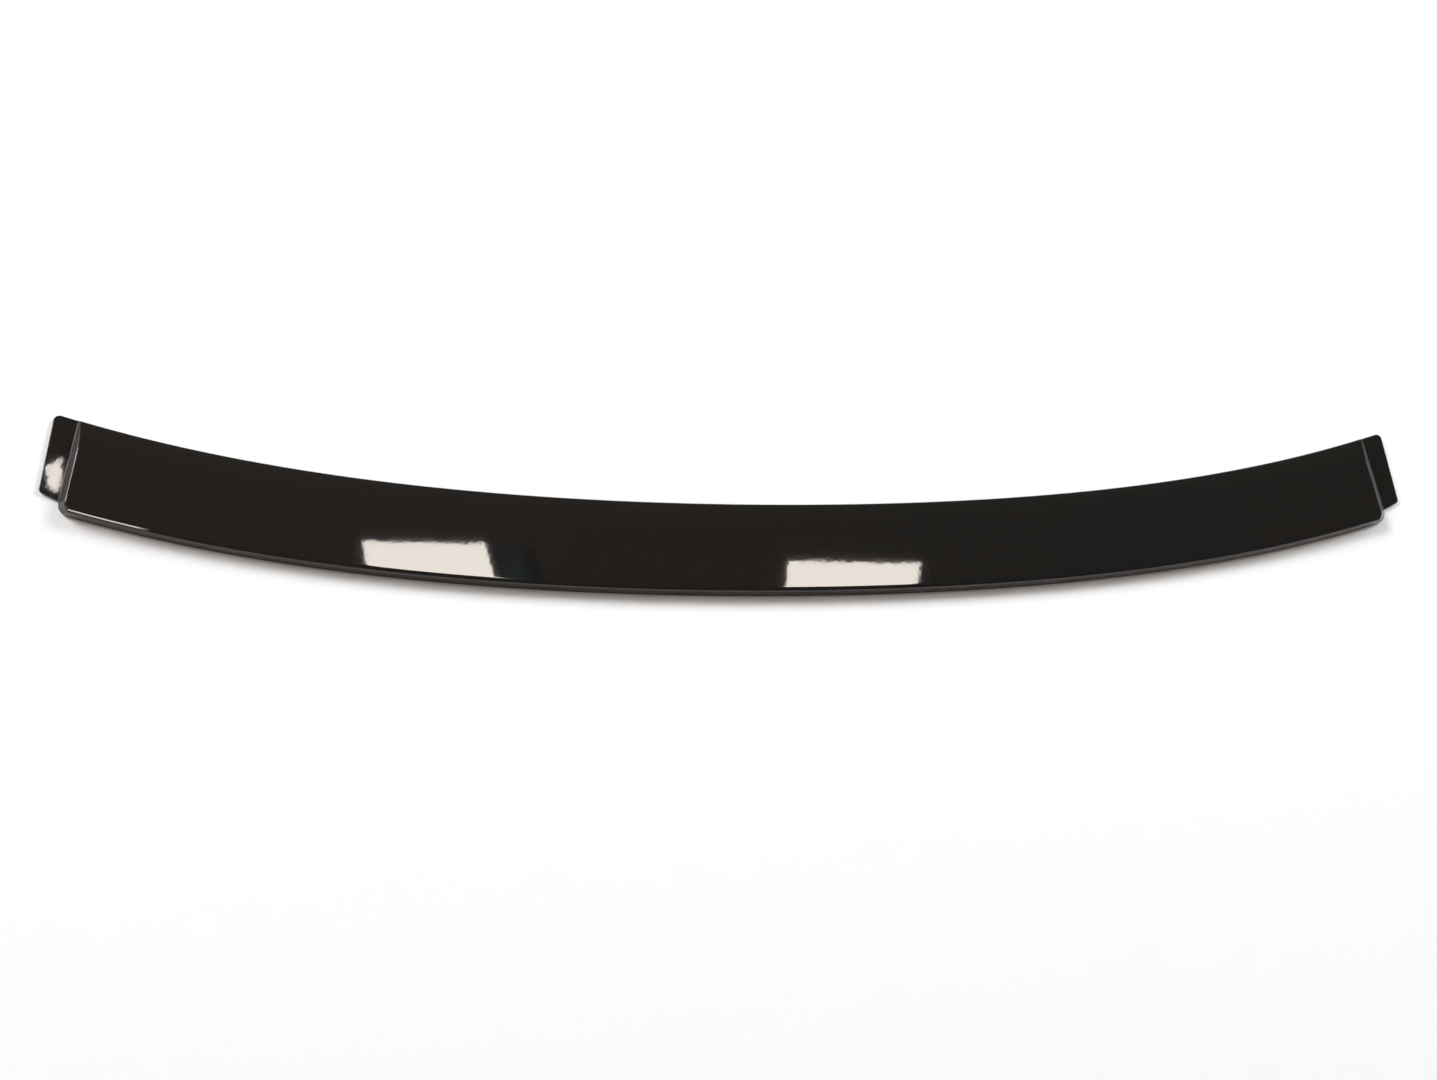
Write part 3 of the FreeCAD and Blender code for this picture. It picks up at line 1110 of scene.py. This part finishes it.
@dataclass(frozen=True)
class Room:
    """Ceiling panels that show in the gloss, a soft light behind each end, and a dim ceiling over them."""

    height: float = 2.5
    cream: Colour = (1.0, 0.925, 0.84)
    sky: Colour = (0.5, 0.8, 1.0)
    cool: Colour = (0.91, 0.96, 1.0)
    panel: float = 20.0
    window: float = 0.55
    window_far: float = 0.4
    crown: float = 15.0
    soft: float = 24.5
    soft_size: Point = (2.9, 2.9)
    ceiling_left: Colour = (0.2, 0.145, 0.125)
    ceiling_right: Colour = (0.095, 0.09, 0.08)
    ceiling_turn: float = 0.4
    horizon: Colour = (1.0, 1.0, 1.0)
    horizon_low: float = 0.03
    horizon_high: float = 0.35

    def panels(self) -> list[CeilingPanel]:
        """List the panels, whose corners are where the photograph's highlights point in the ceiling.

        Returns:
            The two large panels, the small one that the left tab shows, and a faint bluish glow.
        """
        front = 0.6
        left = ((-0.741, 0.861), (-0.696, front), (-0.322, front), (-0.396, 0.858))
        right = ((0.492, 0.804), (0.463, front), (0.848, front), (0.894, 0.797))
        tab = ((-1.640, 0.938), (-1.629, 0.878), (-1.604, 0.864), (-1.595, 0.905), (-1.600, 0.964))
        rise = ((-0.38, 0.84), (-0.31, front), (-0.245, front), (-0.315, 0.84))
        fall = ((-0.315, 0.84), (-0.245, front), (-0.19, front), (-0.26, 0.84))
        even = (self.panel,)
        near = self.window
        far = self.window_far * self.window
        made = [
            ("left_panel", left, even, self.cream),
            ("right_panel", right, even, self.cream),
            ("tab_panel", tab, even, self.cream),
            ("window_rise", rise, (0.0, 0.0, near, far), self.sky),
            ("window_fall", fall, (far, near, 0.0, 0.0), self.sky),
        ]
        return [CeilingPanel(name, places, level, self.height, tint) for name, places, level, tint in made]

    def lamps(self) -> list[Lamp]:
        """List the lights that the top doesn't show.

        Returns:
            A long panel ahead of the left end, which its crown shows, two soft lights behind the ends,
            and dim walls beside the ends and a small lamp at the left, which the risers show.
        """
        crown = Lamp(
            "crown_panel",
            centre=(-2.12, -0.9, self.height),
            size=(0.5, 1.9),
            radiance=self.crown,
            facing=Facing.DOWN,
            turn=-22.6,
            use=Use.CARD,
            colour=self.cream,
        )
        soft_lights = [
            Lamp(name, centre, self.soft_size, self.soft, use=Use.LIGHT, colour=self.cool)
            for name, centre in (
                ("left_soft_light", (-5.35, 5.35, 4.9)),
                ("right_soft_light", (6.7, 4.4, 4.1)),
            )
        ]
        left_wall = Lamp("left_wall", centre=(-4.8, 1.95, 1.9), size=(1.8, 1.4), radiance=2.0)
        right_wall = Lamp("right_wall", centre=(5.2, 2.0, 3.2), size=(1.4, 1.4), radiance=2.5)
        left_lamp = Lamp("left_lamp", centre=(-4.4, 2.0, 3.0), size=(0.6, 0.6), radiance=30.0)
        return [crown, *soft_lights, left_wall, right_wall, left_lamp]

    def build(self) -> None:
        """Hang the lights and set the world."""
        for light in [*self.panels(), *self.lamps()]:
            light.build()
            log.info("hung %s", light.name)
        self.set_world()

    def set_world(self) -> None:
        """Light from the rest of the room: pale up to the horizon, dim overhead, and warmer at the left."""
        world = bpy.data.worlds.new("room")
        bpy.context.scene.world = world
        world.use_nodes = True
        nodes = Nodes(world.node_tree)
        direction = nodes.new("ShaderNodeTexCoord").outputs["Generated"]
        parts = nodes.new("ShaderNodeSeparateXYZ", Vector=direction)
        across = nodes.ramp(parts.outputs["X"], -self.ceiling_turn, self.ceiling_turn)
        overhead = nodes.mix(Blend.COLOUR, across, self.ceiling_left, self.ceiling_right)
        up = nodes.ramp(parts.outputs["Z"], self.horizon_low, self.horizon_high)
        sky = nodes.mix(Blend.COLOUR, up, self.horizon, overhead)
        back = nodes.new("ShaderNodeBackground", Color=sky)
        nodes.finish("ShaderNodeOutputWorld", back.outputs[0])


@dataclass(frozen=True)
class PhotoCamera:
    """Camera fitted to the outline in the photograph, for its frame of 1437 by 1080 pixels."""

    name: str = "photo_camera"
    azimuth: float = -27.0469
    elevation: float = 69.6459
    roll: float = -25.989
    distance: float = 1.19
    focal_pixels: float = 1274.356
    origin_pixel: Point = (763.527, 509.653)
    sensor: float = 36.0

    def build(self) -> bpy.types.Object:
        """Make the camera and give it to the scene.

        It stands back from the part's origin, is rolled about that line, and is then panned and
        tilted until the origin lands on its pixel.

        Returns:
            The camera's object.
        """
        azimuth, elevation, roll = (math.radians(v) for v in (self.azimuth, self.elevation, self.roll))
        level = math.cos(elevation)
        back = Vector((math.sin(azimuth) * level, -math.cos(azimuth) * level, math.sin(elevation)))
        right = back.cross(Vector((0.0, 0.0, 1.0))).normalized() * -1.0
        down = (-back).cross(right)
        rolled_right = right * math.cos(roll) + down * math.sin(roll)
        rolled_down = down * math.cos(roll) - right * math.sin(roll)
        rows = Matrix((rolled_right, rolled_down, -back))
        aside = self.origin_pixel[0] - PHOTO_WIDTH / 2.0
        below = self.origin_pixel[1] - PHOTO_HEIGHT / 2.0
        pan = math.atan2(aside, self.focal_pixels)
        tilt = math.atan2(below, math.hypot(self.focal_pixels, aside))
        pan_turn = Matrix.Rotation(pan, 3, "Y")
        tilt_turn = Matrix.Rotation(-tilt, 3, "X")
        look = pan_turn @ tilt_turn @ rows
        lens = bpy.data.cameras.new(self.name)
        lens.sensor_fit = "HORIZONTAL"
        lens.sensor_width = self.sensor
        lens.lens = self.sensor * self.focal_pixels / PHOTO_WIDTH
        camera = new_object(self.name, lens)
        turned = Matrix((look[0], -look[1], -look[2])).transposed()
        camera.matrix_world = Matrix.Translation(back * self.distance) @ turned.to_4x4()
        bpy.context.scene.camera = camera
        return camera


def main() -> None:
    """Build and dress the shell, then set the stage."""
    logging.basicConfig(level=logging.INFO, format="%(message)s")
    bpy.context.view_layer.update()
    shell = SpoilerShell().build(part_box(NODE))
    shell.data.materials.append(GlossBlack().material())
    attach(shell, BODY)
    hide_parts(NODE)
    log.info("dressed %s", shell.name)
    Floor().build()
    Room().build()
    PhotoCamera().build()
    bpy.context.scene.view_settings.view_transform = "Standard"


if __name__ == "__main__":
    main()
